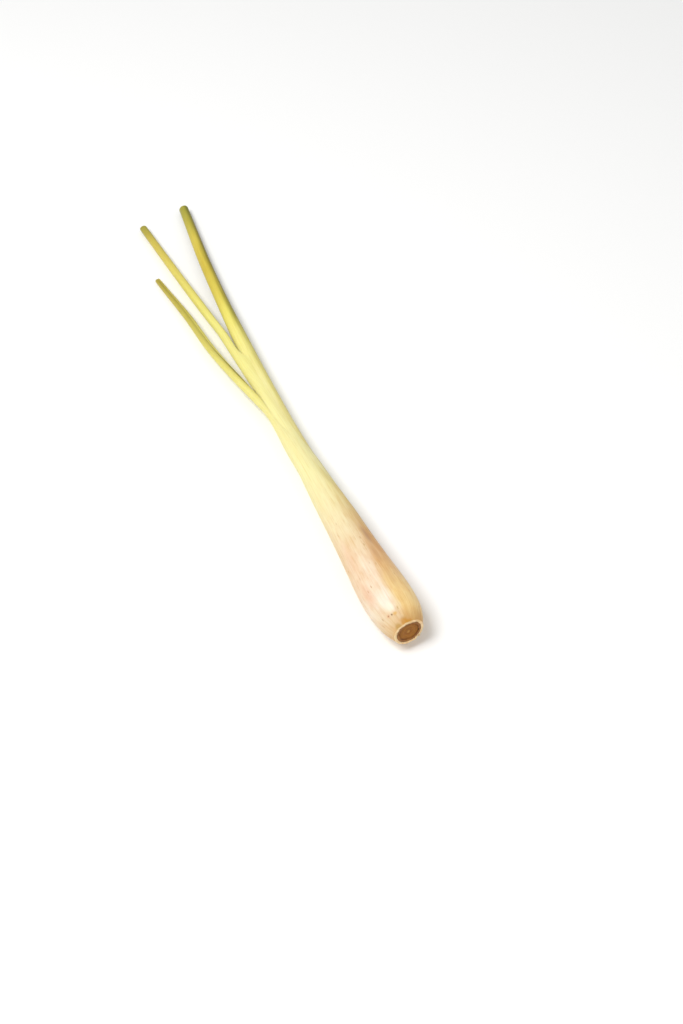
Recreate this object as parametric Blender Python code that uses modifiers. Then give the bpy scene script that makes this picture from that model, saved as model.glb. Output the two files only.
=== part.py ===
"""A trimmed lemongrass stalk, lying on a level surface. Metres, +Z up.

A lemongrass stalk is a bundle of leaves rolled round a short solid stem. At the cut base all of
them are tight round each other and make the pale bulb. Further up the outer leaves leave the
bundle one after the other: the outermost one first, then the one under it. What stays in the
middle is the straight roll of young leaves, which is cut off square at the top.

The stalk lies along X with its cut base at -X, and both free blades leave it on its +Y side.
It rests on the underside of the bulb, on the tip of the roll and on the tips of the two blades.
The lengths below are in millimetres. They are counted from the middle of the cut base along X
and Y and from the surface up, and at the end the whole stalk is moved so that the origin is the
middle of its footprint.
"""

import math

import bmesh
import bpy
import numpy as np

MM = 0.001

# --- Driving dimensions, in millimetres -------------------------------------------------------

STALK_LENGTH = 280.0
SHEATH_WALL = 0.45  # the thickness of a leaf
LEAF_GAP = 0.3  # the air between two layers
SHEATH_WRAP = 165.0  # how far a tight leaf reaches round on each side of its midrib, in degrees
PEEL_WRAP = 98.0  # and how far it still does where it starts to peel off

KNIFE_TILT = math.radians(7)  # the base is cut a little aslant, so its face looks slightly up
KNIFE_TURN = math.radians(-5)  # and slightly towards -Y
KNIFE_REACH = 9.0  # how far up the bulb the slant of the cut fades out

STEM_TOP = 30.0  # where the solid stem's side ends, with the last of BULB_PLACES
STEM_DOME = 5.0  # the height of the domed growing tip above it

OUTER_BLADE_END = 236.0
SECOND_BLADE_END = 274.0

# The line through the middle of the stalk: it bows gently towards +Y, and it drops from the
# thick bulb's middle to the thin roll's, because both lie on the surface.
AXIS_Y = [(0, 0.0), (28, 1.7), (90, 3.9), (180, 5.3), (230, 3.8), (280, 0.2)]
AXIS_Z = [(0, 10.9), (16, 10.05), (50, 9.0), (100, 7.3), (200, 4.6), (280, 2.25)]

# The radius of the solid middle: the stem in the bulb, then the roll of young leaves.
CORE_RADIUS = [
    (0, 5.0),
    (3, 6.3),
    (8, 7.7),
    (16, 8.5),
    (24, 8.3),
    (35, 7.45),
    (50, 6.45),
    (80, 5.05),
    (95, 4.2),
    (108, 3.75),
    (120, 3.5),
    (150, 3.45),
    (182, 3.3),
    (208, 2.85),
    (245, 2.55),
    (280, 2.2),
]

# A leaf is tight round the stalk as far as its PEEL_START, but from OPENS on its two margins
# draw apart. Beyond PEEL_START it peels off towards +Y and rolls up on itself. Each line of a
# table says, at one place along the stalk, how far the leaf's own middle stands away from the
# stalk's, how high it is above the surface, the radius that the leaf is rolled to, and how far
# it reaches round on each side, in degrees.
OUTER_OPENS = 68.0
OUTER_PEEL_START = 95.0
OUTER_PEEL_END = 160.0  # where the blade is clear of the stalk and fully rolled
OUTER_PEEL = [
    (108, 0.7, 7.0, 5.0, 90),
    (121, 1.8, 6.6, 3.6, 56),
    (128, 2.75, 6.4, 2.7, 56),
    (134, 4.1, 6.2, 2.1, 74),
    (140, 5.7, 6.0, 1.85, 112),
    (147, 7.4, 5.7, 1.75, 140),
    (156, 9.4, 5.2, 1.75, 155),
    (180, 14.2, 4.0, 1.75, 160),
    (205, 17.6, 2.8, 1.5, 165),
    (236, 23.9, 1.25, 1.0, 165),
]
SECOND_OPENS = 92.0
SECOND_PEEL_START = 118.0
SECOND_PEEL_END = 205.0
SECOND_PEEL = [
    (130, 0.6, 6.4, 3.9, 88),
    (141, 1.7, 6.1, 3.15, 74),
    (150, 2.9, 5.8, 2.4, 76),
    (158, 3.9, 5.6, 1.95, 88),
    (168, 4.7, 5.3, 1.9, 105),
    (178, 5.6, 5.0, 1.8, 125),
    (186, 6.3, 4.7, 1.75, 140),
    (200, 8.6, 4.2, 1.75, 155),
    (237, 14.9, 2.9, 1.65, 160),
    (274, 22.1, 1.75, 1.5, 165),
]

# Where the rings along a piece stand: close together round the bulb's shoulder and where a
# leaf peels off, and further apart on the straight stretches.
BULB_PLACES = [0, 2, 4, 6.5, 9, 12, 16, 20, 25, 30]
PEEL_PITCH = 3.6
OPENING_PITCH = 6.5
STRAIGHT_PITCH = 13.0
LEAF_COLUMNS = 18
SOLID_SIDES = 24


# --- The lines that the pieces follow ---------------------------------------------------------


def smooth_curve(knots):
    """A smooth function through (place, value) knots, constant beyond both ends."""
    places, values = np.array(knots, float).T
    slopes = np.gradient(values, places)

    def value_at(place):
        place = min(max(place, places[0]), places[-1])
        i = min(np.searchsorted(places, place, side="right"), len(places) - 1) - 1
        step = places[i + 1] - places[i]
        t = (place - places[i]) / step
        start = (1 + 2 * t) * (1 - t) ** 2 * values[i] + t * (1 - t) ** 2 * step * slopes[i]
        end = t * t * (3 - 2 * t) * values[i + 1] + t * t * (t - 1) * step * slopes[i + 1]
        return start + end

    return value_at


axis_y = smooth_curve(AXIS_Y)
axis_z = smooth_curve(AXIS_Z)
core_radius = smooth_curve(CORE_RADIUS)


def core_path(x):
    """The middle and the radius of the stalk's solid core at x."""
    return axis_y(x), axis_z(x), core_radius(x)


def tight_radius(x, layer):
    """The radius of a leaf's mid-surface where it is tight, with that many leaves inside it."""
    return core_radius(x) + LEAF_GAP + SHEATH_WALL / 2 + layer * (LEAF_GAP + SHEATH_WALL)


def leaf_path(opens, peel_start, peel, layer):
    """A leaf's middle, mid-surface radius and reach, as a function of the place along it."""
    tight = (peel_start, 0.0, axis_z(peel_start), tight_radius(peel_start, layer), PEEL_WRAP)
    table = np.array([tight] + peel)
    away, height, radius = (smooth_curve(table[:, [0, i]]) for i in (1, 2, 3))
    wrap = smooth_curve([(opens, SHEATH_WRAP)] + [(row[0], row[4]) for row in table])

    def path(x):
        if x <= peel_start:
            return axis_y(x), axis_z(x), tight_radius(x, layer), wrap(x)
        return axis_y(x) + away(x), height(x), radius(x), wrap(x)

    return path


second_path = leaf_path(SECOND_OPENS, SECOND_PEEL_START, SECOND_PEEL, 0)
outer_path = leaf_path(OUTER_OPENS, OUTER_PEEL_START, OUTER_PEEL, 1)


def round_second_leaf(x):
    """The middle and the outer radius of the second leaf, which the outermost one lies on."""
    centre_y, centre_z, radius, _ = second_path(x)
    return centre_y, centre_z, radius + SHEATH_WALL / 2


def clear_arc(section, host):
    """The middle and the half width, in degrees, of the arc that a leaf's section fills.

    Where a leaf peels off, its two margins end before they would cut into its host.
    """
    centre_y, centre_z, radius, wrap = section
    host_y, host_z, host_radius = host
    apart = math.hypot(centre_y - host_y, centre_z - host_z)
    if apart < LEAF_GAP / 2:
        return 0.0, wrap
    inner = radius - SHEATH_WALL / 2
    room = host_radius + LEAF_GAP
    cosine = (room**2 - apart**2 - inner**2) / (2 * apart * inner)
    limit = math.degrees(math.acos(min(max(cosine, -1.0), 1.0)))
    facing = math.degrees(math.atan2(centre_z - host_z, centre_y - host_y))
    return facing, min(wrap, limit)


def evenly(first, last, pitch):
    """Places from first to last, about a pitch apart, without the first one itself."""
    return list(np.linspace(first, last, round((last - first) / pitch) + 1)[1:])


def leaf_places(opens, peel_start, peel_end, last):
    """Where a leaf's rings stand, from the cut base to the tip of its blade."""
    sheath = evenly(BULB_PLACES[-1], opens, STRAIGHT_PITCH) + evenly(opens, peel_start, OPENING_PITCH)
    peeling = evenly(peel_start, peel_end, PEEL_PITCH)
    return BULB_PLACES + sheath + peeling + evenly(peel_end, last, STRAIGHT_PITCH)


def on_ring(x, centre_y, centre_z, radius, angle):
    """A point of the ring at x: angle 0 faces +Y and a quarter turn faces up."""
    dy = radius * math.cos(angle)
    dz = radius * math.sin(angle)
    slant = max(0.0, 1 - x / KNIFE_REACH)
    dx = slant * (dz * math.tan(KNIFE_TILT) + dy * math.tan(KNIFE_TURN))
    return (x + dx, centre_y + dy, centre_z + dz)


# --- Building blocks --------------------------------------------------------------------------


def principled(name, colour, roughness):
    material = bpy.data.materials.new(name)
    material.use_nodes = True
    shader = material.node_tree.nodes["Principled BSDF"]
    shader.inputs["Base Color"].default_value = (*colour, 1)
    shader.inputs["Roughness"].default_value = roughness
    shader.inputs["Metallic"].default_value = 0
    return material


def grid_rows(rows, columns):
    """A flat grid, and its vertices row by row, in the order that they lie across it."""
    sheet = bmesh.new()
    bmesh.ops.create_grid(sheet, x_segments=rows, y_segments=columns, size=1)
    order = sorted(sheet.verts, key=lambda vert: (round(vert.co.x, 4), round(vert.co.y, 4)))
    width = columns + 1
    return sheet, [order[i * width : (i + 1) * width] for i in range(rows + 1)]


def finished(name, sheet, material):
    """Makes the bmesh, which is in millimetres, a smooth-shaded object of the stalk."""
    bmesh.ops.recalc_face_normals(sheet, faces=sheet.faces)
    bmesh.ops.scale(sheet, vec=(MM, MM, MM), verts=sheet.verts)
    mesh = bpy.data.meshes.new(name)
    sheet.to_mesh(mesh)
    sheet.free()
    mesh.materials.append(material)
    mesh.shade_smooth()
    mesh.set_sharp_from_angle(angle=math.radians(40))
    piece = bpy.data.objects.new(name, mesh)
    collection.objects.link(piece)
    piece.parent = stalk_frame
    return piece


def solid_of_rings(name, rings, material):
    """A solid round body: a grid rolled up along the (x, radius) rings, with both ends filled."""
    sheet, rows = grid_rows(len(rings) - 1, SOLID_SIDES)
    for row, (x, radius) in zip(rows, rings):
        for i, vert in enumerate(row):
            angle = 2 * math.pi * i / SOLID_SIDES
            vert.co = on_ring(x, axis_y(x), axis_z(x), radius, angle)
    bmesh.ops.remove_doubles(sheet, verts=sheet.verts, dist=0.0001)
    bmesh.ops.holes_fill(sheet, edges=sheet.edges, sides=SOLID_SIDES)
    return finished(name, sheet, material)


def leaf(name, places, path, host_path, material):
    """A leaf: an open sheet along the middle of its thickness, rolled as its path says."""
    sheet, rows = grid_rows(len(places) - 1, LEAF_COLUMNS)
    for row, x in zip(rows, places):
        centre_y, centre_z, radius, _ = path(x)
        middle, half = clear_arc(path(x), host_path(x))
        for i, vert in enumerate(row):
            angle = math.radians(middle + half * (2 * i / LEAF_COLUMNS - 1))
            vert.co = on_ring(x, centre_y, centre_z, radius, angle)
    piece = finished(name, sheet, material)
    wall = piece.modifiers.new("leaf_thickness", "SOLIDIFY")
    wall.thickness = SHEATH_WALL * MM
    wall.offset = 0
    wall.use_even_offset = True
    return piece


# --- The pieces -------------------------------------------------------------------------------


def basal_stem():
    """The short solid stem, whose cut face shows at the base. Its top is a low dome."""
    side = [(x, core_radius(x)) for x in BULB_PLACES]
    brim = core_radius(STEM_TOP)
    turns = [math.radians(degrees) for degrees in (20, 40, 60, 78)]
    dome = [(STEM_TOP + STEM_DOME * math.sin(turn), brim * math.cos(turn)) for turn in turns]
    return solid_of_rings("basal_stem", side + dome, principled("cut_stem", (0.55, 0.31, 0.15), 0.6))


def inner_leaf_roll():
    """The young leaves, one tight roll that stands on the stem's dome and runs to the top."""
    foot = STEM_TOP + LEAF_GAP
    brim = core_radius(foot)
    turns = [math.radians(degrees) for degrees in (78, 60, 40, 20)]
    cup = [(foot + STEM_DOME * math.sin(turn), brim * math.cos(turn)) for turn in turns]
    places = [foot] + evenly(foot, STALK_LENGTH, STRAIGHT_PITCH)
    side = [(x, core_radius(x)) for x in places]
    material = principled("pale_green_leaf", (0.80, 0.79, 0.36), 0.4)
    return solid_of_rings("inner_leaf_roll", cup + side, material)


def second_leaf():
    """The leaf under the outermost one. Its blade leaves the stalk beyond the middle."""
    material = principled("green_leaf", (0.72, 0.74, 0.30), 0.4)
    places = leaf_places(SECOND_OPENS, SECOND_PEEL_START, SECOND_PEEL_END, SECOND_BLADE_END)
    return leaf("second_leaf", places, second_path, core_path, material)


def outer_leaf():
    """The outermost leaf: the skin of the bulb. Its blade leaves the stalk halfway up."""
    material = principled("cream_sheath", (0.90, 0.76, 0.55), 0.35)
    places = leaf_places(OUTER_OPENS, OUTER_PEEL_START, OUTER_PEEL_END, OUTER_BLADE_END)
    return leaf("outer_leaf", places, outer_path, round_second_leaf, material)


def footprint(solids):
    """The middle of the box round the solids, seen from above, and their lowest height."""
    graph = bpy.context.evaluated_depsgraph_get()
    points = []
    for solid in solids:
        evaluated = solid.evaluated_get(graph)
        points += [evaluated.matrix_world @ vert.co for vert in evaluated.to_mesh().vertices]
        evaluated.to_mesh_clear()
    low = np.min(points, axis=0)
    high = np.max(points, axis=0)
    return (low[0] + high[0]) / 2, (low[1] + high[1]) / 2, low[2]


for old in list(bpy.data.objects):
    bpy.data.objects.remove(old, do_unlink=True)

collection = bpy.data.collections.new("lemongrass_stalk")
bpy.context.scene.collection.children.link(collection)
stalk_frame = bpy.data.objects.new("stalk_frame", None)
collection.objects.link(stalk_frame)

pieces = [basal_stem(), inner_leaf_roll(), second_leaf(), outer_leaf()]
bpy.context.view_layer.update()
stalk_frame.location = [-place for place in footprint(pieces)]
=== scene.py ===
# %% [markdown]
# # A trimmed lemongrass stalk
#
# Lemongrass grows like a leek. A short solid stem carries long leaves, and the lower part of each
# leaf, its sheath, is rolled round everything that grows inside it. All the sheaths together make
# the pale bulb at the cut base. Further up the outer leaves peel off one after the other, and what
# stays in the middle is a tight straight roll of young leaves.
#
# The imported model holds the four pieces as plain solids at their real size. This script gives
# them their real surface: thin margins that lie on the piece below, a frayed rim round the cut,
# growth rings, veins, and colours that turn from cream to green along the stalk.

# %% Load the frame
import math

import bmesh
import bpy
import numpy as np
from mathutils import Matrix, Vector, noise


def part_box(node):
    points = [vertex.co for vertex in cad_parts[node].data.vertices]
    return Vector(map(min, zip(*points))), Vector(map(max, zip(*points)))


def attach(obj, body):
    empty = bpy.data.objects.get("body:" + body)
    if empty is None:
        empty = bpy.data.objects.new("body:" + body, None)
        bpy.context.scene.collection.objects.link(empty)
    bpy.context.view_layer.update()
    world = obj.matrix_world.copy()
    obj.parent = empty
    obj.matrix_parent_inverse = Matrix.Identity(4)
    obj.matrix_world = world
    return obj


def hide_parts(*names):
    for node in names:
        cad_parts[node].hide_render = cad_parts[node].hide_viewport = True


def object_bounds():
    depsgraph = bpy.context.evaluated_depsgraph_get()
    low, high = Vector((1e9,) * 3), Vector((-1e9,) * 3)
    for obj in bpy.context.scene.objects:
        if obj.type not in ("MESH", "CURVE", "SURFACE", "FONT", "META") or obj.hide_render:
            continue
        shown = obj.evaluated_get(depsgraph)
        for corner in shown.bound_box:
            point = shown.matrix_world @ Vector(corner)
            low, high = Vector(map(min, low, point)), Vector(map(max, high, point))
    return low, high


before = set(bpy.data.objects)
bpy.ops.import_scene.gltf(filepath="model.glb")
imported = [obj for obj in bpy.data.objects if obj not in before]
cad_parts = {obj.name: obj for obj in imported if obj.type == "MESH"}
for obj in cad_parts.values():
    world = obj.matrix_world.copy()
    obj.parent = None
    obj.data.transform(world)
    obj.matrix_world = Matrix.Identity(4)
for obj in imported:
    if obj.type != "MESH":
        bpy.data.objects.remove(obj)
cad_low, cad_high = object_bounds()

print("solids:", sorted(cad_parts))

# %% [markdown]
# ## The lines that the stalk follows
#
# A stalk is easiest to describe in its own coordinates, in millimetres: x along it from the middle
# of the cut base, y towards the side that the blades leave it on, z up from the surface it lies
# on. These are the same lines that the solids were built on, so the fine surfaces lie exactly on
# them. The middle of the roll's cut end ties the two frames together.

# %% Lengths, middle line and radii
MM = 0.001
STALK_LENGTH = 280.0
OUTER_BLADE_END = 236.0
SECOND_BLADE_END = 274.0
STEM_TOP = 30.0
STEM_DOME = 5.0

SHEATH_WALL = 0.45
LAYER = 0.75  # a leaf's wall and the air under it

KNIFE_TILT = math.tan(math.radians(7))
KNIFE_TURN = math.tan(math.radians(-5))
KNIFE_REACH = 9.0  # how far up the bulb the slant of the cut fades out

AXIS_Y = [(0, 0.0), (28, 1.7), (90, 3.9), (180, 5.3), (230, 3.8), (280, 0.2)]
AXIS_Z = [(0, 10.9), (16, 10.05), (50, 9.0), (100, 7.3), (200, 4.6), (280, 2.25)]
CORE_RADIUS = [
    (0, 5.0), (3, 6.3), (8, 7.7), (16, 8.5), (24, 8.3), (35, 7.45), (50, 6.45), (80, 5.05),
    (95, 4.2), (108, 3.75), (120, 3.5), (150, 3.45), (182, 3.3), (208, 2.85), (245, 2.55), (280, 2.2),
]

print("the stalk is", STALK_LENGTH, "mm long")


# %% Curves through the tables
def smooth_curve(knots):
    """A smooth function through (place, value) knots, constant beyond both ends."""
    places, values = np.array(knots, float).T
    slopes = np.gradient(values, places)

    def value_at(x):
        x = min(max(x, places[0]), places[-1])
        i = min(np.searchsorted(places, x, side="right"), len(places) - 1) - 1
        step = places[i + 1] - places[i]
        t = (x - places[i]) / step
        start = (1 + 2 * t) * (1 - t) ** 2 * values[i] + t * (1 - t) ** 2 * step * slopes[i]
        end = t * t * (3 - 2 * t) * values[i + 1] + t * t * (t - 1) * step * slopes[i + 1]
        return float(start + end)

    return value_at


def straight_lines(knots):
    """A function that joins (place, value) knots by straight lines, constant beyond both ends."""
    places, values = np.array(knots, float).T
    return lambda x: float(np.interp(x, places, values))


axis_y = smooth_curve(AXIS_Y)
axis_z = smooth_curve(AXIS_Z)
core_radius = smooth_curve(CORE_RADIUS)


def core_path(x):
    """The middle and the radius of the roll of young leaves, and of the stem below it."""
    return axis_y(x), axis_z(x), core_radius(x)


print("the core is", round(2 * core_radius(0), 1), "mm thick at the cut base")

# %% From the stalk's coordinates to the frame's
END_DEPTH = 0.1  # the cut end's points lie within this of the roll's furthest one, in mm
roll_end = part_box("inner_leaf_roll")[1].x
roll_points = [vert.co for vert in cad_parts["inner_leaf_roll"].data.vertices]
end_points = [point for point in roll_points if point.x > roll_end - END_DEPTH * MM]
end_middle = sum(end_points, Vector()) / len(end_points)
own_end = Vector((STALK_LENGTH, axis_y(STALK_LENGTH), axis_z(STALK_LENGTH)))
STALK_ORIGIN = end_middle - own_end * MM


def place(x, y, z):
    """A point of the stalk, in millimetres, as a point of the frame, in metres."""
    return STALK_ORIGIN + Vector((x, y, z)) * MM


print("the cut base's middle is at", [round(v, 4) for v in place(0, 0, axis_z(0))])

# %% [markdown]
# ## How the two outer leaves peel off
#
# A leaf is tight round the stalk up to a point. From there its own middle moves away from the
# stalk's, its radius shrinks as it rolls up on itself, and its margins draw apart and then close
# again into a thin tube. Each table line says where along the stalk, how far away, how high, and
# how tightly rolled (to the middle of the leaf's thickness).

# %% Where the leaves peel off
OUTER_PEEL_START = 95.0
OUTER_PEEL = [
    (108, 0.7, 7.0, 5.0), (121, 1.8, 6.6, 3.6), (128, 2.75, 6.4, 2.7), (134, 4.1, 6.2, 2.1),
    (140, 5.7, 6.0, 1.85), (147, 7.4, 5.7, 1.75), (156, 9.4, 5.2, 1.75), (180, 14.2, 4.0, 1.75),
    (205, 17.6, 2.8, 1.5), (236, 23.9, 1.25, 1.0),
]
SECOND_PEEL_START = 118.0
SECOND_PEEL = [
    (130, 0.6, 6.4, 3.9), (141, 1.7, 6.1, 3.15), (150, 2.9, 5.8, 2.4), (158, 3.9, 5.6, 1.95),
    (168, 4.7, 5.3, 1.9), (178, 5.6, 5.0, 1.8), (186, 6.3, 4.7, 1.75), (200, 8.6, 4.2, 1.75),
    (237, 14.9, 2.9, 1.65), (274, 22.1, 1.75, 1.5),
]


def leaf_path(peel_start, peel, layer):
    """A leaf's middle and outer radius, as a function of the place along the stalk."""

    def tight(x):
        return core_radius(x) + (layer + 1) * LAYER

    to_face = SHEATH_WALL / 2
    table = np.array([(peel_start, 0.0, axis_z(peel_start), tight(peel_start) - to_face)] + peel)
    away, height, radius = (smooth_curve(table[:, [0, i]]) for i in (1, 2, 3))

    def path(x):
        if x <= peel_start:
            return axis_y(x), axis_z(x), tight(x)
        return axis_y(x) + away(x), height(x), radius(x) + to_face

    return path


outer_path = leaf_path(OUTER_PEEL_START, OUTER_PEEL, 1)
second_path = leaf_path(SECOND_PEEL_START, SECOND_PEEL, 0)
print("bulb:", round(2 * max(outer_path(x)[2] for x in range(40)), 1), "mm thick")

# %% [markdown]
# ## Where the margins run
#
# A leaf's two margins are given as angles round its own middle: 0 faces +Y, 90 faces up. At the
# base each leaf goes round more than once: its upper margin comes down the far side and laps over
# the lower one underneath. Higher up both margins run towards the fork where the blade leaves
# the stalk, and the upper one is the long slanting line on top of it.

# %% Margins of the two leaves
OUTER_LOW_MARGIN = [
    (0, -166), (45, -170), (56, -170), (68, -162), (82, -128), (95, -104), (108, -98), (121, -66),
    (128, -64), (134, -80), (140, -116), (147, -146), (156, -168), (180, -178),
]
OUTER_HIGH_MARGIN = [
    (0, 228), (20, 222), (45, 200), (56, 184), (68, 162), (82, 126), (95, 98), (108, 88), (121, 60),
    (128, 60), (134, 78), (140, 116), (147, 150), (156, 172), (180, 186),
]
OUTER_TURN = [(136, 0), (150, -26), (176, -72), (236, -88)]  # the blade slowly turns as it rolls

SECOND_LOW_MARGIN = [
    (0, -170), (70, -170), (92, -162), (105, -124), (118, -102), (130, -92), (141, -78), (150, -80),
    (158, -92), (168, -108), (178, -130), (186, -150), (200, -172), (237, -178),
]
SECOND_HIGH_MARGIN = [
    (0, 222), (50, 196), (70, 184), (92, 162), (105, 122), (118, 98), (130, 92), (141, 104), (150, 116),
    (158, 127), (164, 133), (172, 124), (178, 130), (186, 152), (200, 176), (237, 186),
]
SECOND_TURN = [(178, 0), (215, 22), (274, 30)]

print("the outer leaf goes", OUTER_HIGH_MARGIN[0][1] - OUTER_LOW_MARGIN[0][1], "degrees round the base")

# %% [markdown]
# ## From a grid to a leaf
#
# Every piece starts as a flat grid. Each of its rows becomes one ring round the stalk, so the
# columns become the lines that run along it, like the veins of the real leaf. The map that gives
# each corner its place on the leaf is kept too, in millimetres: across it and along it. After
# that the seams are merged, so each piece is one closed body.

# %% A grid laid over rings
TURN_MAP = 60.0  # the map's width for one full turn, about the bulb's circumference in millimetres
MERGE_DISTANCE = 0.002  # points of a seam that are nearer than this, in mm, become one
SHARP_EDGE = 50  # an edge that bends by more degrees than this isn't shaded smooth


def on_map(angle):
    """An angle round a piece, in degrees, as a place across its map, in mm."""
    return angle / 360 * TURN_MAP


def loft(name, rings, across, along, finishes, finish_rows):
    """A closed mesh from rings of points in millimetres, with its map and its finishes.

    across and along give the map at each point. finish_rows says, for each row of faces, which
    one of the finishes it takes.
    """
    rows, columns = len(rings) - 1, len(rings[0]) - 1
    sheet = bmesh.new()
    bmesh.ops.create_grid(sheet, x_segments=rows, y_segments=columns, size=1)
    spot = {}
    for vert in sheet.verts:
        spot[vert] = round((vert.co.x + 1) / 2 * rows), round((vert.co.y + 1) / 2 * columns)
    map_layer = sheet.loops.layers.uv.new("leaf_map")
    for face in sheet.faces:
        face.smooth = True
        face.material_index = finish_rows[min(spot[vert][0] for vert in face.verts)]
        for loop in face.loops:
            row, column = spot[loop.vert]
            loop[map_layer].uv = (across[row][column], along[row][column])
    for vert, (row, column) in spot.items():
        vert.co = place(*rings[row][column])
    bmesh.ops.remove_doubles(sheet, verts=sheet.verts, dist=MERGE_DISTANCE * MM)
    bmesh.ops.recalc_face_normals(sheet, faces=sheet.faces)
    mesh = bpy.data.meshes.new(name)
    sheet.to_mesh(mesh)
    sheet.free()
    mesh.set_sharp_from_angle(angle=math.radians(SHARP_EDGE))
    for finish in finishes:
        mesh.materials.append(finish)
    piece = bpy.data.objects.new(name, mesh)
    bpy.context.scene.collection.objects.link(piece)
    print(f"{name}: {rows} rows of {columns} faces")
    return piece


print("a quarter turn is", on_map(90), "mm on the map")


# %% Small helpers for rings
def eased(low, high, value):
    """0 below low, 1 above high and an S-curve between, also where low is the larger one."""
    t = np.clip((value - low) / (high - low), 0, 1)
    return t * t * (3 - 2 * t)


def evenly(first, last, pitch):
    """Places from first to last, about a pitch apart, without the first one itself."""
    return list(np.linspace(first, last, max(1, round((last - first) / pitch)) + 1)[1:])


def with_knife(x, y, z, centre_y, centre_z):
    """The point moved along x as the slanted cut at the base asks."""
    slant = np.clip(1 - x / KNIFE_REACH, 0, 1)
    return x + slant * ((z - centre_z) * KNIFE_TILT + (y - centre_y) * KNIFE_TURN)


def waves(pattern, x, angle):
    """Smooth unevenness. A pattern is its height, its length, its width, in mm, and a seed."""
    height, long, wide, seed = pattern
    return height * np.array([noise.noise(Vector((x / long, t, seed))) for t in on_map(angle) / wide])


print("places every 2 mm:", evenly(0, 6, 2))

# %% [markdown]
# ## The leaf's body
#
# A leaf is thin, but it isn't paper: at the cut base its wall is a good millimetre thick, and
# towards its margins it gets so thin that it clings to whatever is under it. So the outer face is
# worked out first, ring by ring, and the inner face follows at the local thickness. Where a leaf
# would cut into the piece that it lies on, it is pushed back out, as in life.

# %% How thick a leaf is and what holds it off
MARGIN_EDGE = 0.07  # the thickness right at a margin
SNUG = 0.03  # the air that stays under a margin that lies on something
PUSH_SOFTNESS = 0.08  # rounds off the line where a leaf starts to be pushed out
TORN_WALL = (0.16, 1, 3.0, 6.6)  # waves, as a share of the wall, where the knife tore it
TORN_REACH = 4

# The bundle is a little flattened on top at the cut: by how much, at which angle, how many
# degrees to each side, and between which places along the stalk that fades out.
FLAT_DEPTH, FLAT_TOP, FLAT_WIDTH = 0.45, 95, 45
FLAT_FADE = (0.8, 7)


def flattened(x, angle):
    """How much nearer to the middle the pieces lie on top at the cut, in mm."""
    from_top = (angle - FLAT_TOP + 180) % 360 - 180
    return FLAT_DEPTH * np.exp(-((from_top / FLAT_WIDTH) ** 2)) * (1 - eased(*FLAT_FADE, x))


def wall_at(leaf, x, angle, low, high):
    """The leaf's thickness: its whole wall in the middle, and almost nothing at its margins."""
    thin_low, thin_high = leaf["thin_low"](x), leaf["thin_high"](x)
    body = np.minimum(eased(0, thin_low, angle - low), eased(0, thin_high, high - angle))
    torn = 1 + (1 - eased(0, TORN_REACH, x)) * waves(TORN_WALL, 0, angle)
    return MARGIN_EDGE + (leaf["wall"](x) * torn - MARGIN_EDGE) * body


def pushed_out(y, z, host, needed):
    """Points moved straight out from the host's middle wherever they are too near it."""
    host_y, host_z, _ = host
    distance = np.hypot(y - host_y, z - host_z)
    wanted = (distance + needed + np.sqrt((distance - needed) ** 2 + PUSH_SOFTNESS**2)) / 2
    wanted = np.where(distance > needed + 4 * PUSH_SOFTNESS, distance, wanted)
    return host_y + (y - host_y) * wanted / distance, host_z + (z - host_z) * wanted / distance


print("a margin is", MARGIN_EDGE, "mm thin")

# %% Outer and inner face of a leaf
# A leaf settles near its margins: settle_low and settle_high say by how many mm, and settle_over
# how many degrees that takes. thin_low and thin_high say over how many it thins out. Its fray is
# the waves by which the knife's cut wanders along the stalk.
LAP_SINKS_OVER = 3  # degrees in which the lower margin sinks under the upper one


def leaf_face(leaf, x, angle, thickness):
    """The outer face's points at one place: angle runs from the lower margin to the upper one."""
    centre_y, centre_z, radius = leaf["path"](x)
    low, high = angle[0], angle[-1]
    covered = eased(high - 360 + LAP_SINKS_OVER, high - 360, angle)
    sunk = covered * (wall_at(leaf, x, angle + 360, low, high) + SNUG)
    face = radius + leaf["relief"](x, angle) - sunk
    near = leaf["settle_over"](x)
    face = face - leaf["settle_low"](x) * (1 - eased(0, near, angle - low))
    face = face - leaf["settle_high"](x) * (1 - eased(0, near, high - angle))
    turned = np.radians(angle + leaf["turn"](x))
    y, z = centre_y + face * np.cos(turned), centre_z + face * np.sin(turned)
    if leaf["clings_from"] < x < leaf["clings_to"]:
        host = leaf["host"](x)
        return pushed_out(y, z, host, host[2] + thickness + SNUG)
    return y, z


def leaf_rings(leaf, stations, columns):
    """The rings of a leaf's closed body: along its outer face and back along the inner one.

    A station is a place along the stalk and a fullness: 1 is the whole thickness, and at 0 the
    two faces meet, which rounds off the cut ends.
    """
    rings, across, along = [], [], []
    for x, fullness in stations:
        centre_y, centre_z, _ = leaf["path"](x)
        low, high = leaf["low"](x), leaf["high"](x)
        angle = np.linspace(low, high, columns)
        thickness = wall_at(leaf, x, angle, low, high)
        y, z = leaf_face(leaf, x, angle, thickness)
        step_y, step_z = np.gradient(y), np.gradient(z)
        length = np.hypot(step_y, step_z)
        out_y, out_z = step_z / length, -step_y / length
        middle_y, middle_z = y - out_y * thickness / 2, z - out_z * thickness / 2
        half = fullness * thickness / 2
        ring_y = np.concatenate([middle_y + out_y * half, (middle_y - out_y * half)[::-1]])
        ring_z = np.concatenate([middle_z + out_z * half, (middle_z - out_z * half)[::-1]])
        fray = (1 - eased(*leaf["fray_ends"], x)) * sum(waves(w, 0, angle) for w in leaf["fray"])
        frayed = np.concatenate([fray, fray[::-1]])
        ring_x = with_knife(x + frayed, ring_y, ring_z, centre_y, centre_z)
        ring = np.column_stack([ring_x, ring_y, ring_z])
        rings.append(np.vstack([ring, ring[:1]]))
        across.append(on_map(np.concatenate([angle, angle[::-1], angle[:1]])))
        along.append(np.full(len(rings[-1]), x))
    return rings, across, along


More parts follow.
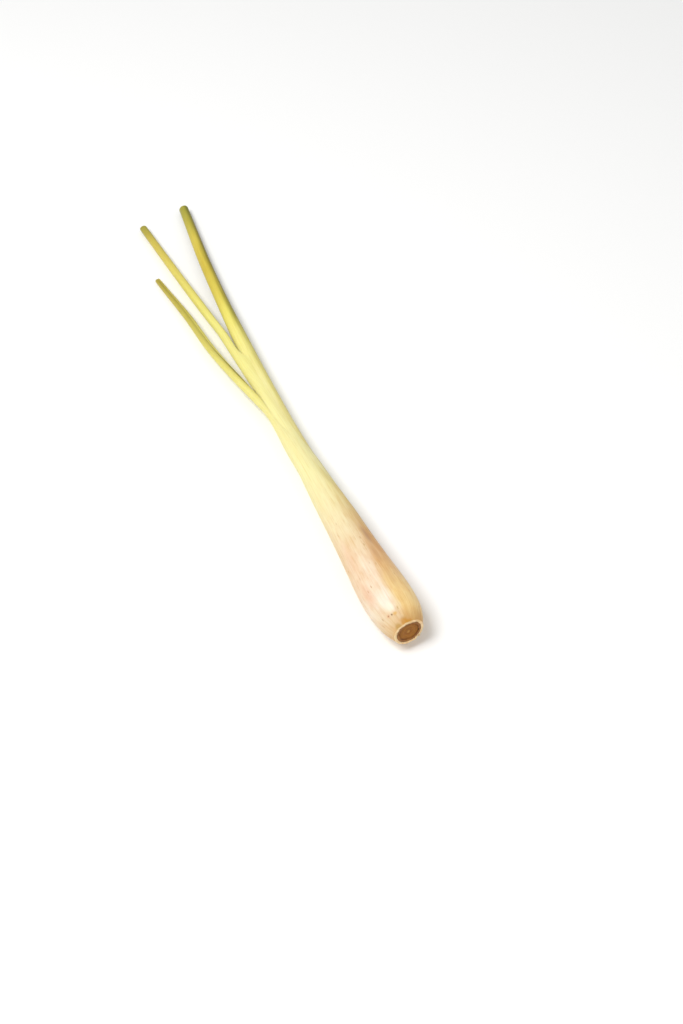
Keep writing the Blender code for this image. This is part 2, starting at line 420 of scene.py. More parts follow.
# The soft edge of a cut, from the middle of its slightly hollow face: (share of the edge's depth,
# fullness).
CUT_PROFILE = [(0.2, 0.0), (0.0, 0.45), (0.02, 0.8), (0.16, 0.93), (0.45, 0.985), (1.0, 1.0)]


def cut_end(first, inwards, depth):
    """Stations for a cut end with soft edges, going inwards (1) from it or out to it (-1)."""
    ends = [(first + inwards * depth * share, fullness) for share, fullness in CUT_PROFILE]
    return ends if inwards > 0 else ends[::-1]


print("a cut edge has", len(CUT_PROFILE), "rings")

# %% A leaf from its tables
SMOOTH_TABLES = ("low", "high", "turn")
STRAIGHT_TABLES = ("wall", "thin_low", "thin_high", "settle_low", "settle_high", "settle_over")
TIP_EDGE = 0.12  # the depth of the soft edge at a blade's tip
TIP_ROWS = 4  # so many rows of faces there are cut flesh


def leaf_piece(name, leaf):
    """A leaf's closed body, from the tables that describe it by the place along the stalk.

    Its pitches say, for each stretch from the cut to the tip, where it ends and how far apart
    its rings are. cut_rows of faces at the cut take the second finish.
    """
    leaf = {
        **leaf,
        **{key: smooth_curve(leaf[key]) for key in SMOOTH_TABLES},
        **{key: straight_lines(leaf[key]) for key in STRAIGHT_TABLES},
    }
    base = cut_end(leaf["start"], 1, leaf["edge"])
    body, reached = [], leaf["start"] + leaf["edge"]
    for stretch_end, pitch in leaf["pitches"]:
        body += [(x, 1.0) for x in evenly(reached, stretch_end, pitch)]
        reached = stretch_end
    tip = cut_end(leaf["end"], -1, TIP_EDGE)
    rings, across, along = leaf_rings(leaf, base + body + tip, leaf["columns"])
    rows = len(rings) - 1
    finish_rows = [1] * leaf["cut_rows"] + [0] * (rows - leaf["cut_rows"] - TIP_ROWS) + [2] * TIP_ROWS
    return loft(name, rings, across, along, leaf["finishes"], finish_rows)


print("a leaf takes", len(SMOOTH_TABLES) + len(STRAIGHT_TABLES), "tables")

# %% [markdown]
# ## Colours and nodes
#
# Colours are written as they look on a screen and turned linear once, here. One helper adds a
# node, sets it up and links it, which keeps the material cells short.

# %% Helpers for materials
def linear(hex_colour):
    """An sRGB hex colour as linear red, green, blue and alpha."""
    channels = [int(hex_colour[i : i + 2], 16) / 255 for i in (0, 2, 4)]
    return [c / 12.92 if c <= 0.04045 else ((c + 0.055) / 1.055) ** 2.4 for c in channels] + [1.0]


def add(tree, kind, inputs=(), settings=None, stops=()):
    """Adds a node with its inputs, settings and a ramp's stops, and gives its first output in use.

    Inputs are values or sockets, in a list in the node's own order or in a dictionary.
    """
    node = tree.nodes.new("ShaderNode" + kind)
    for name, value in (settings or {}).items():
        setattr(node, name, value)
    for key, value in inputs.items() if isinstance(inputs, dict) else enumerate(inputs):
        if isinstance(value, bpy.types.NodeSocket):
            tree.links.new(value, node.inputs[key])
        else:
            node.inputs[key].default_value = value
    for i, (position, colour) in enumerate(stops):
        elements = node.color_ramp.elements
        element = elements[i] if i < 2 else elements.new(position)
        element.position = position
        element.color = linear(colour)
    return next(output for output in node.outputs if output.enabled)


def new_finish(name, settings):
    """A material, its nodes and its shader, with the values that are the same all over it."""
    finish = bpy.data.materials.new(name)
    finish.use_nodes = True
    shader = finish.node_tree.nodes["Principled BSDF"]
    for key, value in settings.items():
        shader.inputs[key].default_value = value
    return finish, finish.node_tree, shader


def cover(tree, shader, colour, pattern, strength, depth):
    """Gives the shader its colour, and a relief of so many mm that follows a pattern."""
    relief = {"Strength": strength, "Distance": depth * MM, "Height": pattern}
    tree.links.new(colour, shader.inputs["Base Color"])
    tree.links.new(add(tree, "Bump", relief), shader.inputs["Normal"])


print("cream is", [round(c, 2) for c in linear("fdebd0")])

# %% [markdown]
# ## The leaf's finish
#
# A fresh leaf sheath is cellulose fibre under a thin coat of wax. The fibres give fine streaks
# along the leaf, under a millimetre wide and a few centimetres long. The wax gives a soft gloss.
# The flesh under it is pale and lets a little light through, which is what makes the bulb glow.
# All of its patterns are noise that is stretched along the leaf's own map, so they follow the
# leaf wherever it bends.

# %% Patterns of the leaf
# How wide and how long each pattern's features are, in mm, how finely they are detailed, and which
# values of the noise become which amounts of the pattern. Real hair lines are 0.1 mm wide. These
# are 0.4 mm, because finer ones wouldn't show.
BORDER_WANDERS = 2.2  # how far the patches move the border between the two ramps, in mm
LEAF_PATTERNS = {
    "patch": (5.0, 26.0, 3.0, (0.3, 0.7, -BORDER_WANDERS, BORDER_WANDERS)),
    "blotch": (3.0, 6.0, 3.0, (0.42, 0.66)),
    "streak": (0.9, 28.0, 4.0, (0.42, 0.72)),
    "hair": (0.4, 8.0, 3.0, (0.5, 0.7)),
}


def leaf_patterns(tree, leaf_map):
    """Each pattern's noise and its amount, as sockets."""
    noises, amounts = {}, {}
    for name, (width, length, detail, shows) in LEAF_PATTERNS.items():
        scale = (1 / width, 1 / length, 1)
        stretched = add(tree, "Mapping", {"Vector": leaf_map, "Scale": scale})
        grain = {"Vector": stretched, "Scale": 1.0, "Detail": detail}
        noises[name] = add(tree, "TexNoise", grain)
        amounts[name] = add(tree, "MapRange", [noises[name], *shows])
    return noises, amounts


print("patterns:", ", ".join(LEAF_PATTERNS))

# %% [markdown]
# The colour changes slowly along the leaf, and the side away from the key lamp is browner: partly
# the leaf's own tone and partly painted shade. So there are two ramps along the stalk, a lit and a
# shaded one, and a mask that says which one holds: it follows the angle round the leaf, and long
# soft patches make its border wander.

# %% Colour along and round the leaf
SOFT = {"interpolation_type": "SMOOTHSTEP"}
MULTIPLY = {"operation": "MULTIPLY"}
MIX = {"data_type": "RGBA"}  # then socket 0 is the share, and 6 and 7 are the two colours
SHADED_SIDE_CHANGES = (20.0, 46.0)  # the places between which the flank's limits change
SHADED_UNDERSIDE = (-150, -80)  # the underside takes the flank's colours below the first of these angles
# Painted shade under the leaf: the underside takes the shaded ramp.
SHEATH_FADES = (90.0, 130.0)  # but only on the sheath, which ends between these places


def leaf_colour(tree, across, along, wander, ramps, limits):
    """The colour from the bright and the flank's ramp.

    The limits are the angles at which the flank's colours begin and those at which they are
    full, each on the bulb and above it.
    """
    # The lit ramp is the leaf's own colour; the shaded ramp is partly its own browner tone and partly
    # painted shade.
    share = add(tree, "Math", [along, STALK_LENGTH], {"operation": "DIVIDE"})
    tones = []
    for ramp in ramps:
        stops = [(x / STALK_LENGTH, colour) for x, colour in ramp]
        tones.append(add(tree, "ValToRGB", [share], stops=stops))
    border = add(tree, "Math", [across, wander], {"operation": "ADD"})
    begins, full = (
        add(tree, "MapRange", [along, *SHADED_SIDE_CHANGES, on_map(low), on_map(high)])
        for low, high in limits
    )
    side = add(tree, "MapRange", [border, begins, full], SOFT)
    low, high = (on_map(angle) for angle in SHADED_UNDERSIDE)
    under = add(tree, "MapRange", [border, low, high, 1.0, 0.0], SOFT)
    sheath = add(tree, "MapRange", [along, *SHEATH_FADES, 1.0, 0.0], SOFT)
    under_sheath = add(tree, "Math", [under, sheath], MULTIPLY)
    shade = add(tree, "Math", [side, under_sheath], {"operation": "MAXIMUM"})
    return add(tree, "Mix", {0: shade, 6: tones[0], 7: tones[1]}, MIX)


print("the flank's colours reach round the sheath up to", SHEATH_FADES[1], "mm")

# %% Blotches, streaks and hair lines
TINT = {**MIX, "blend_type": "MULTIPLY"}
STREAK_TINT = "f9f4e9"
HAIR_TINT = "f3e8d8"
HAIR_FADES = (40.0, 90.0, 1.0, 0.5)  # above the bulb the hair lines are half as strong


def with_fibres(tree, colour, along, amounts, mottle, bulb):
    """The colour with faint blotches, streaks and hair lines."""
    on_bulb = add(tree, "Math", [amounts["blotch"], bulb], MULTIPLY)
    faint = add(tree, "MapRange", [along, *HAIR_FADES], SOFT)
    hair = add(tree, "Math", [amounts["hair"], faint], MULTIPLY)
    for amount, tint in ((on_bulb, mottle), (amounts["streak"], STREAK_TINT), (hair, HAIR_TINT)):
        colour = add(tree, "Mix", {0: amount, 6: colour, 7: linear(tint)}, TINT)
    return colour


print("streaks are", LEAF_PATTERNS["streak"][0], "mm wide")

# %% Flecks and marks
# Brown flecks where the skin was bruised, 0.4 by 1.5 mm. At most one falls in each 2.2 by 8.3 mm.
FLECK_CELL = (0.45, 0.12, 1)  # cells per mm, across and along
FLECK_SIZE = (0.03, 0.12)  # from its middle, in cells: full up to the first, gone at the second
FLECK_LUCK = (0.7, 0.95)  # cells whose random value is below the first have none
FLECK_TINT = "d2b496"
RAGGED = (0.6, 0.95, 1.0, 0.6)  # the fibres show through a mark


def with_flecks(tree, colour, leaf_map, bulb):
    """The colour with small brown flecks, mostly on the bulb."""
    cell_map = add(tree, "Mapping", {"Vector": leaf_map, "Scale": FLECK_CELL})
    cells = add(tree, "TexVoronoi", {"Vector": cell_map, "Scale": 1.0}, {"voronoi_dimensions": "2D"})
    near = add(tree, "MapRange", [cells, *FLECK_SIZE, 1.0, 0.0])
    luck = add(tree, "SeparateColor", [cells.node.outputs["Color"]])
    chosen = add(tree, "MapRange", [luck, *FLECK_LUCK])
    spots = add(tree, "Math", [near, chosen], MULTIPLY)
    fleck = add(tree, "Math", [spots, bulb], MULTIPLY)
    return add(tree, "Mix", {0: fleck, 6: colour, 7: linear(FLECK_TINT)}, TINT)


def with_marks(tree, colour, leaf_map, fibre, marks):
    """The colour with single soft marks.

    A mark is its angle, its place, its half width across and along in mm, its colour, its
    strength, and the share of it that is at full strength.
    """
    ragged = add(tree, "MapRange", [fibre, *RAGGED])
    for angle, x, half_across, half_along, hex_colour, strength, full_share in marks:
        sizes = {"Location": (on_map(angle), x, 0), "Scale": (half_across, half_along, 1)}
        centred = add(tree, "Mapping", {"Vector": leaf_map, **sizes}, {"vector_type": "TEXTURE"})
        length = add(tree, "VectorMath", [centred], {"operation": "LENGTH"})
        spot = add(tree, "MapRange", [length, full_share, 1.0, strength, 0.0], SOFT)
        mask = add(tree, "Math", [spot, ragged], MULTIPLY)
        colour = add(tree, "Mix", {0: mask, 6: colour, 7: linear(hex_colour)}, MIX)
    return colour


print("a cell for flecks is", [round(1 / c, 1) for c in FLECK_CELL[:2]], "mm")

# %% Leaf finish
MULTIPLY_ADD = {"operation": "MULTIPLY_ADD"}
WAX = {
    "Subsurface Weight": 0.12, "Subsurface Radius": (1.0, 0.7, 0.3), "Subsurface Scale": 0.0015,
    "Specular IOR Level": 0.14, "Coat Weight": 0.05, "Coat Roughness": 0.3,
}
BULB_FADES = (30.0, 75.0, 1.0, 0.2)  # blotches and flecks fade to a fifth above the bulb
HAIR_SHARE = 0.6  # how strong the hair lines are in the relief, next to the streaks
VEIN_STRENGTH, VEIN_HEIGHT = 0.6, 0.08  # heights and depths are in mm
GLOSS = (0.6, 1.0, 0.36, 0.5)  # the roughness, from the dips between the fibres to their ridges


def leaf_finish(name, ramps, limits, marks, mottle):
    """Waxy leaf: soft gloss, and colours that follow the place on the leaf."""
    finish, tree, shader = new_finish(name, WAX)
    leaf_map = add(tree, "UVMap", settings={"uv_map": "leaf_map"})
    across = add(tree, "SeparateXYZ", [leaf_map])
    along = across.node.outputs["Y"]
    noises, amounts = leaf_patterns(tree, leaf_map)
    fibre = add(tree, "Math", [noises["hair"], HAIR_SHARE, noises["streak"]], MULTIPLY_ADD)
    bulb = add(tree, "MapRange", [along, *BULB_FADES], SOFT)
    colour = leaf_colour(tree, across, along, amounts["patch"], ramps, limits)
    colour = with_fibres(tree, colour, along, amounts, mottle, bulb)
    colour = with_flecks(tree, colour, leaf_map, bulb)
    if marks:
        colour = with_marks(tree, colour, leaf_map, fibre, marks)
    cover(tree, shader, colour, fibre, VEIN_STRENGTH, VEIN_HEIGHT)
    gloss = add(tree, "MapRange", [fibre, *GLOSS])
    tree.links.new(gloss, shader.inputs["Roughness"])
    print(f"{name}: {len(tree.nodes)} nodes")
    return finish


print("the veins stand out by", VEIN_HEIGHT, "mm")

# %% [markdown]
# Each ramp says which colour the leaf has at which millimetre of the stalk: brown at the cut, cream
# and pink on the bulb, pale yellow further up and olive green at the tips. The outer leaf also
# carries the marks that every bulb has somewhere, from bruises to the scars of old roots, as well as
# a painted highlight along the fold above the cut and painted shade on the side towards the blades.

# %% Colours of the outer leaf
# Lit ramp, and shaded ramp for the flank and underside: the shaded one is partly the sheath's own tan and
# partly painted shade, kept warm as if light bounced into it.
OUTER_LIT_RAMP = [
    (0, "d8b480"), (5, "e6cda8"), (12, "efe0cb"), (24, "eed5ba"), (38, "ebd2b0"), (52, "eddcb6"),
    (70, "eee1ae"), (90, "efe7ac"), (118, "eee5a2"), (140, "eae28e"), (170, "e2da7a"), (205, "ccc05c"),
    (236, "bfae50"),
]
OUTER_SHADED_RAMP = [
    (0, "cc9f62"), (6, "efcf92"), (14, "f4d69a"), (24, "e8c48e"), (36, "dcae78"), (48, "d4a66a"),
    (62, "d6b572"), (80, "decb80"), (100, "e8dc8e"), (125, "eae08c"), (150, "e2d87a"), (205, "c0b452"),
    (236, "aa9c46"),
]
OUTER_MARKS = [
    (6, 42, 4.6, 34.0, "dcb888", 0.45, 0.2),  # painted shade on the side towards the blades
    (35, 18, 3.0, 8.0, "e2a882", 0.55, 0.2),  # a peach-pink blush
    (40, 40, 5.0, 13.0, "e8c0a2", 0.5, 0.2),
    (116, 46, 2.4, 9.0, "a87a5e", 0.6, 0.1),  # mauve-brown streaks on the flank
    (107, 35, 1.8, 8.0, "c0926c", 0.5, 0.1),
    (98, 60, 2.2, 10.0, "dcbc84", 0.25, 0.1),
    (104, 21, 1.4, 9.0, "cf9f66", 0.4, 0.2),
    (68, 30, 3.5, 15.0, "f6e6d0", 0.6, 0.1),  # painted highlight: a pale band up the bulb, the fold and its tip
    (60, 11.5, 2.9, 7.0, "f8ead8", 0.8, 0.2),
    (64, 8.4, 1.7, 3.6, "f8ecd8", 0.85, 0.3),
    (48, 0.6, 3.2, 1.9, "ae8434", 0.85, 0.3),  # the ochre patches above the rim
    (76, 0.7, 3.3, 2.6, "bf8424", 1.0, 0.35),
    (94, 0.3, 2.4, 1.4, "bf8424", 0.8, 0.3),
    (65, 5.1, 1.5, 0.9, "dfa948", 0.9, 0.1),  # a smudge and two old root scars
    (46, 5.7, 1.1, 1.0, "dc9c78", 0.7, 0.2),
    (46, 5.7, 0.45, 0.4, "8e5a36", 0.85, 0.4),
    (56, 5.4, 0.5, 0.42, "6b4015", 0.95, 0.4),
]
outer_finish = leaf_finish(
    "waxy_cream_sheath", (OUTER_LIT_RAMP, OUTER_SHADED_RAMP), ((70, 74), (94, 142)), OUTER_MARKS, "faf1e8"
)

# %% Colours of the second leaf and of the roll
# Lit and shaded ramps of the second leaf; the shaded one is partly painted shade.
SECOND_LIT_RAMP = [
    (0, "8a5a2c"), (3, "c99a62"), (20, "e0c89e"), (90, "ece4ac"), (130, "efe7a2"), (160, "eee694"),
    (190, "ece588"), (215, "e6dc76"), (240, "daca64"), (262, "c8b753"), (274, "a09a42"),
]
SECOND_SHADED_RAMP = [
    (0, "8a5a2c"), (20, "d0b27e"), (95, "dccf84"), (130, "e2d984"), (180, "d9cf70"), (230, "c0b252"),
    (274, "8c8838"),
]
second_finish = leaf_finish(
    "waxy_yellow_sheath", (SECOND_LIT_RAMP, SECOND_SHADED_RAMP), ((85, 108), (150, 162)), [], "f6f3e2"
)

# Lit and shaded ramps of the roll; the shaded one, dark olive up the shaft, is partly the roll's own green
# and partly painted shade.
ROLL_LIT_RAMP = [
    (30, "e0cca4"), (110, "ece4ac"), (150, "eee6a0"), (180, "eee68c"), (196, "eae072"), (210, "dccd5c"),
    (230, "d2be4c"), (252, "d6c454"), (266, "beb34a"), (280, "a09c40"),
]
ROLL_SHADED_RAMP = [
    (30, "d0b27e"), (110, "dccf84"), (150, "ded478"), (180, "bcb248"), (195, "928a1e"), (212, "8c8016"),
    (235, "80750f"), (262, "84791c"), (280, "76782a"),
]
roll_finish = leaf_finish(
    "waxy_green_roll", (ROLL_LIT_RAMP, ROLL_SHADED_RAMP), ((72, 72), (146, 146)), [], "f4f1da"
)

# %% [markdown]
# ## The cut faces
#
# A knife leaves two kinds of surface. The leaves' walls show their pale spongy flesh, with the ends
# of the fibres as fine grain. The woody stem dries brown within hours, and shows rings, where
# leaf after leaf was attached, and the ends of its vessels as tiny dots.

# %% Finish of a leaf's cut edge
SPONGE = {"Roughness": 0.7, "Subsurface Weight": 0.1, "Subsurface Scale": 0.001}
BLOTCH_SCALE = 0.2  # the blotches are five times as large as the grain
BLOTCH_SHARE = 0.8  # how strong they are, next to the grain
SPONGE_SHOWS = (0.75, 1.1)  # the values of both together that are all dark and all pale
PORE_STRENGTH, PORE_DEPTH = 0.6, 0.1


def edge_finish(name, pale, dark, grain):
    """The spongy flesh of a cut leaf wall, with grain of that size in mm."""
    finish, tree, shader = new_finish(name, SPONGE)
    spot = add(tree, "TexCoord").node.outputs["Object"]
    fine, coarse = 1 / (grain * MM), BLOTCH_SCALE / (grain * MM)
    cells = add(tree, "TexNoise", {"Vector": spot, "Scale": fine, "Detail": 4.0})
    blotch = add(tree, "TexNoise", {"Vector": spot, "Scale": coarse, "Detail": 2.0})
    both = add(tree, "Math", [blotch, BLOTCH_SHARE, cells], MULTIPLY_ADD)
    mask = add(tree, "MapRange", [both, *SPONGE_SHOWS])
    ramp = add(tree, "ValToRGB", [mask], stops=[(0.0, dark), (1.0, pale)])
    cover(tree, shader, ramp, cells, PORE_STRENGTH, PORE_DEPTH)
    print(f"{name}: {len(tree.nodes)} nodes")
    return finish


rim_finish = edge_finish("cut_sheath_flesh", "fde2b4", "e8c086", 0.3)
# The second leaf's cut edge sits in the recess inside the rim: its dark brown is partly its own dried
# colour and partly painted shade of that recess.
second_edge_finish = edge_finish("dried_and_shaded_sheath_edge", "b07636", "7e4a18", 0.3)
tip_finish = edge_finish("cut_blade_flesh", "c4bf74", "98923c", 0.25)

# %% Finish of the cut stem
RING_PITCH = 0.55
RING_SHADES = (-1.0, 1.0, 0.84, 1.1)  # from the rings' valleys to their crests
VESSEL_PITCH = 0.45  # the vessel ends are about half as wide, a quarter of a millimetre
VESSEL_SIZE = (0.12, 0.4)  # from its middle, in pitches: full up to the first, gone at the second
VESSEL_SHARE = 0.35  # how much of their brown shows
VESSEL_DIP = -0.8  # they lie lower, by this share of the rings' height
RING_WOBBLE = 1.6  # how far the rings stray from circles, in mm
GROOVE_STRENGTH, GROOVE_DEPTH = 0.5, 0.06
STEM_TONES = [  # by the share of the way out, the two ends of the ramp first
    (0.0, "dcb068"), (1.0, "74420c"), (0.12, "b8803a"), (0.24, "985e20"), (0.5, "aa6e29"),
    (0.72, "9a611f"), (0.86, "885016"),
]
TONES_REACH = (0.6, 5.8)  # the wobbling radius, in mm, at which the tones start and end


def stem_finish():
    """Woody stem, freshly browned: growth rings, vessel ends and a paler heart."""
    finish, tree, shader = new_finish("cut_woody_stem", {"Roughness": 0.62, "Specular IOR Level": 0.2})
    spot = add(tree, "TexCoord").node.outputs["Object"]
    middle = place(0, 0, axis_z(0))
    centred = add(tree, "VectorMath", [spot, middle], {"operation": "SUBTRACT"})
    flat = add(tree, "VectorMath", [centred, (0.0, 1 / MM, 1 / MM)], MULTIPLY)  # in mm
    warp = add(tree, "TexNoise", {"Vector": flat, "Scale": 0.35, "Detail": 3.0})
    radius = add(tree, "VectorMath", [flat], {"operation": "LENGTH"})
    wobble = add(tree, "Math", [warp, RING_WOBBLE, radius], MULTIPLY_ADD)
    share = add(tree, "MapRange", [wobble, *TONES_REACH])
    tone = add(tree, "ValToRGB", [share], stops=STEM_TONES)
    phase = add(tree, "Math", [wobble, math.tau / RING_PITCH], MULTIPLY)
    wave = add(tree, "Math", [phase], {"operation": "SINE"})
    rings = add(tree, "MapRange", [wave, *RING_SHADES])
    grey = add(tree, "CombineColor", [rings, rings, rings])
    ringed = add(tree, "Mix", {0: 1.0, 6: tone, 7: grey}, TINT)
    vessels = add(tree, "TexVoronoi", {"Vector": flat, "Scale": 1 / VESSEL_PITCH})
    dots = add(tree, "MapRange", [vessels, *VESSEL_SIZE, 1.0, 0.0])
    speck = add(tree, "Math", [dots, VESSEL_SHARE], MULTIPLY)
    colour = add(tree, "Mix", {0: speck, 6: ringed, 7: linear("5c3716")}, MIX)
    height = add(tree, "Math", [dots, VESSEL_DIP, wave], MULTIPLY_ADD)
    cover(tree, shader, colour, height, GROOVE_STRENGTH, GROOVE_DEPTH)
    print(f"{finish.name}: {len(tree.nodes)} nodes")
    return finish


cut_stem_finish = stem_finish()

# %% [markdown]
# ## The outer leaf
#
# This is the skin of the bulb and the lower of the two loose blades, in one piece. Its relief is
# low: slow swellings, shallow folds along the sheath, one stronger fold above the cut, a fine
# arched step where an older leaf was attached, a small neck and lip at the cut, and two scars of
# old roots. The knife also frays the edge of the cut.

# %% Relief of the outer leaf
OUTER_SWELLING = (0.16, 30, 14, 1.3)
BROAD_FOLDS = (0.05, 60, 2.6, 4.7)
FINE_FOLDS = (0.03, 40, 0.8, 9.2)
SHEATH_ENDS = (100, 135)  # a pair like this gives the places between which something fades
SWELLING_STARTS, FOLDS_START = (0, 6), (0, 4)

RIDGE_HEIGHT = 0.4
RIDGE = smooth_curve([(4, 66), (8, 71), (12, 76), (16, 77), (22, 74), (30, 70)])  # its angle by the place
RIDGE_FALLS = (34, 20)  # degrees in which it falls off on its two sides
RIDGE_STARTS, RIDGE_ENDS = (4, 7), (16, 30)

STEP_HEIGHT = 0.22
STEP_LINE = smooth_curve([  # how far up the bulb the arched step runs, by the angle
    (14, 1.6), (34, 2.8), (48, 4.6), (58, 5.0), (66, 4.0), (78, 2.6), (91, 1.5), (110, 1.0),
])
STEP_EDGE = (-0.4, 0.4)
STEP_STARTS, STEP_ENDS = (5, 40), (92, 120)  # these two are angles

NECK_DEPTH = 0.2
NECK_STARTS, NECK_ENDS = (0.9, 2.0), (3.0, 8.0)
LIP_DRAWN_IN = 0.3
LIP_ENDS = (0.8, 3.5)
ROOT_SCARS = ((46, 6.1), (56, 5.4))  # angle and place
SCAR_DEPTH, SCAR_REACH = 0.1, 0.3
DEGREES_PER_MM = 7  # round the rim, roughly


def between(rise, fall, value):
    """1 from the end of the rise to the start of the fall, easing to 0 before and after them."""
    return eased(*rise, value) * (1 - eased(*fall, value))


def outer_relief(x, angle):
    """What stands out on the outer leaf, in mm, by the place and by the angle round it."""
    sheath = 1 - eased(*SHEATH_ENDS, x)
    swelling = waves(OUTER_SWELLING, x, angle) * sheath
    folds = waves(BROAD_FOLDS, x, angle) + waves(FINE_FOLDS, x, angle) * sheath
    from_ridge = angle - RIDGE(x)
    slope = np.maximum(-from_ridge / RIDGE_FALLS[0], from_ridge / RIDGE_FALLS[1])
    ridge = RIDGE_HEIGHT * np.clip(1 - slope, 0, 1) * between(RIDGE_STARTS, RIDGE_ENDS, x)
    below_step = 1 - eased(*STEP_EDGE, x - np.array([STEP_LINE(a) for a in angle]))
    step = STEP_HEIGHT * below_step * between(STEP_STARTS, STEP_ENDS, angle)
    neck = NECK_DEPTH * between(NECK_STARTS, NECK_ENDS, x)
    drawn_in = LIP_DRAWN_IN * (1 - eased(*LIP_ENDS, x))
    scars = 0
    for scar_angle, at in ROOT_SCARS:
        off = (((angle - scar_angle) / DEGREES_PER_MM) ** 2 + (x - at) ** 2) / SCAR_REACH**2
        scars = scars + SCAR_DEPTH * np.exp(-off)
    raised = swelling * eased(*SWELLING_STARTS, x) + folds * eased(*FOLDS_START, x) + ridge
    return raised - step - neck - drawn_in - scars - flattened(x, angle)


print("the ridge is", RIDGE_HEIGHT, "mm high")

# %% Build the outer leaf
OUTER_THIN = [(0, 34), (20, 30), (45, 40), (140, 40), (160, 60)]
outer_leaf = leaf_piece("outer_leaf_skin", {
    "path": outer_path,
    "low": OUTER_LOW_MARGIN,
    "high": OUTER_HIGH_MARGIN,
    "turn": OUTER_TURN,
    "wall": [(0, 1.0), (3, 0.85), (7, 0.65), (14, SHEATH_WALL), (140, SHEATH_WALL), (180, 0.4), (236, 0.3)],
    "thin_low": OUTER_THIN,
    "thin_high": OUTER_THIN,
    "settle_low": [(50, 0.0), (68, 0.4), (95, 0.6), (128, 0.5), (142, 0.1), (156, 0.0)],
    "settle_high": [
        (56, 0.0), (68, 0.4), (95, 0.6), (128, 0.5), (142, 0.1), (158, 0.4), (205, 0.4), (236, 0.28),
    ],
    "settle_over": [(0, 14), (60, 20), (95, 44), (128, 50), (160, 55)],
    "relief": outer_relief,
    "fray": [(0.32, 1, 5, 8.1), (0.26, 1, 1.1, 2.4)],
    "fray_ends": (0, 3),
    "host": second_path,  # what it lies on, between the next two places
    "clings_from": 60.0,
    "clings_to": 146.0,
    "start": 0.0,
    "end": OUTER_BLADE_END,
    "edge": 0.4,  # the depth of the soft edge at the cut
    "pitches": [(3.0, 0.3), (9.0, 0.45), (60.0, 1.2), (OUTER_BLADE_END - TIP_EDGE, 1.4)],
    "columns": 190,
    "cut_rows": 4,
    "finishes": [outer_finish, rim_finish, tip_finish],
})
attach(outer_leaf, "root")
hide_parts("outer_leaf")

# %% [markdown]
# ## The second leaf
#
# It is made the same way, one layer further in. Only its brown edge shows at the cut, dried and
# darkened with painted shade of the recess it sits in. From the fork of the outer blade on it is
# the skin of the stalk, as far as its own fork. Just below that fork the blade already stands off
# the roll, but the sheath still spans the hollow between the two, as tight as a tent.

# %% Relief of the second leaf
SECOND_SWELLING = (0.08, 28, 9, 3.1)
SECOND_FOLDS = (0.04, 60, 2.2, 6.2)
SHOWS_FROM = (90, 110)  # the swellings and folds start where the leaf comes into sight
TUCKED_IN = 0.6  # the radius is smaller near the cut, where the outer leaf's wall is thick
TUCK_ENDS = (2, 12)
SPAN_ENDS = (163, 175)  # the places between which the sheath stops spanning the hollow
WIDEST_SPAN = 70  # degrees


def reach_over_roll(x, angle):
    """How far the leaf stands out where it still spans the hollow between its blade and the roll.

    Seen along the stalk, it runs straight from its own round side to the roll's, as a tangent.
    """
    centre_y, centre_z, radius = second_path(x)
    roll_y, roll_z, roll_radius = core_path(x)
    apart = math.hypot(centre_y - roll_y, centre_z - roll_z)
    if apart == 0:
        return 0 * angle
    rise = (roll_radius + MARGIN_EDGE + SNUG - radius) / apart
    facing = math.degrees(math.atan2(centre_z - roll_z, centre_y - roll_y))
    tangent = facing + math.degrees(math.acos(min(max(rise, -1), 1)))
    past = np.radians(np.clip(angle - tangent, 0, WIDEST_SPAN))
    return radius * (1 / np.cos(past) - 1) * (1 - eased(*SPAN_ENDS, x))


def second_relief(x, angle):
    """What stands out on the second leaf, in mm: swellings and folds where it is visible."""
    tucked = TUCKED_IN * (1 - eased(*TUCK_ENDS, x))
    swelling = waves(SECOND_SWELLING, x, angle) + waves(SECOND_FOLDS, x, angle)
    return swelling * eased(*SHOWS_FROM, x) + reach_over_roll(x, angle) - tucked - flattened(x, angle)


print("the sheath spans the hollow up to", SPAN_ENDS[1], "mm")

# %% Build the second leaf
second_leaf = leaf_piece("second_leaf_skin", {
    "path": second_path,
    "low": SECOND_LOW_MARGIN,
    "high": SECOND_HIGH_MARGIN,
    "turn": SECOND_TURN,
    "wall": [(0, 1.05), (3, 0.9), (12, 0.4), (60, SHEATH_WALL), (200, SHEATH_WALL), (274, 0.38)],
    "thin_low": [(0, 30), (130, 45), (180, 45), (205, 60)],
    "thin_high": [(0, 40), (130, 45), (180, 45), (205, 60)],
    "settle_low": [(75, 0.0), (92, 0.2), (110, 0.6), (158, 0.4), (178, 0.1), (200, 0.0)],
    "settle_high": [
        (75, 0.0), (92, 0.2), (110, 0.6), (130, 0.5), (141, 0.1), (178, 0.0), (200, 0.4), (274, 0.38),
    ],
    "settle_over": [(0, 16), (110, 60), (160, 66), (205, 55)],
    "relief": second_relief,
    "fray": [(0.12, 1, 1.5, 5.5)],
    "fray_ends": (0.3, 2.5),
    "host": core_path,
    "clings_from": 92.0,
    "clings_to": 172.0,
    "start": 0.12,  # it was cut a little shorter than the outer leaf
    "end": SECOND_BLADE_END,
    "edge": 0.2,
    "pitches": [(4.0, 0.6), (90.0, 3.5), (SECOND_BLADE_END - TIP_EDGE, 1.3)],
    "columns": 110,
    "cut_rows": 5,
    "finishes": [second_finish, second_edge_finish, tip_finish],
})
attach(second_leaf, "root")
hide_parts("second_leaf")

# %% [markdown]
# ## The roll of young leaves
#
# The roll is the straight shaft. The outermost of its leaves laps over itself, so a fine step runs
# along the roll and slowly winds round it. The knife went through it at the top, where the
# rolled layers show as a spiral, each standing a little proud of the next.

# %% Rings round the middle line
POLE_RING = 0.1  # the radius of the smallest ring, round the point that closes an end


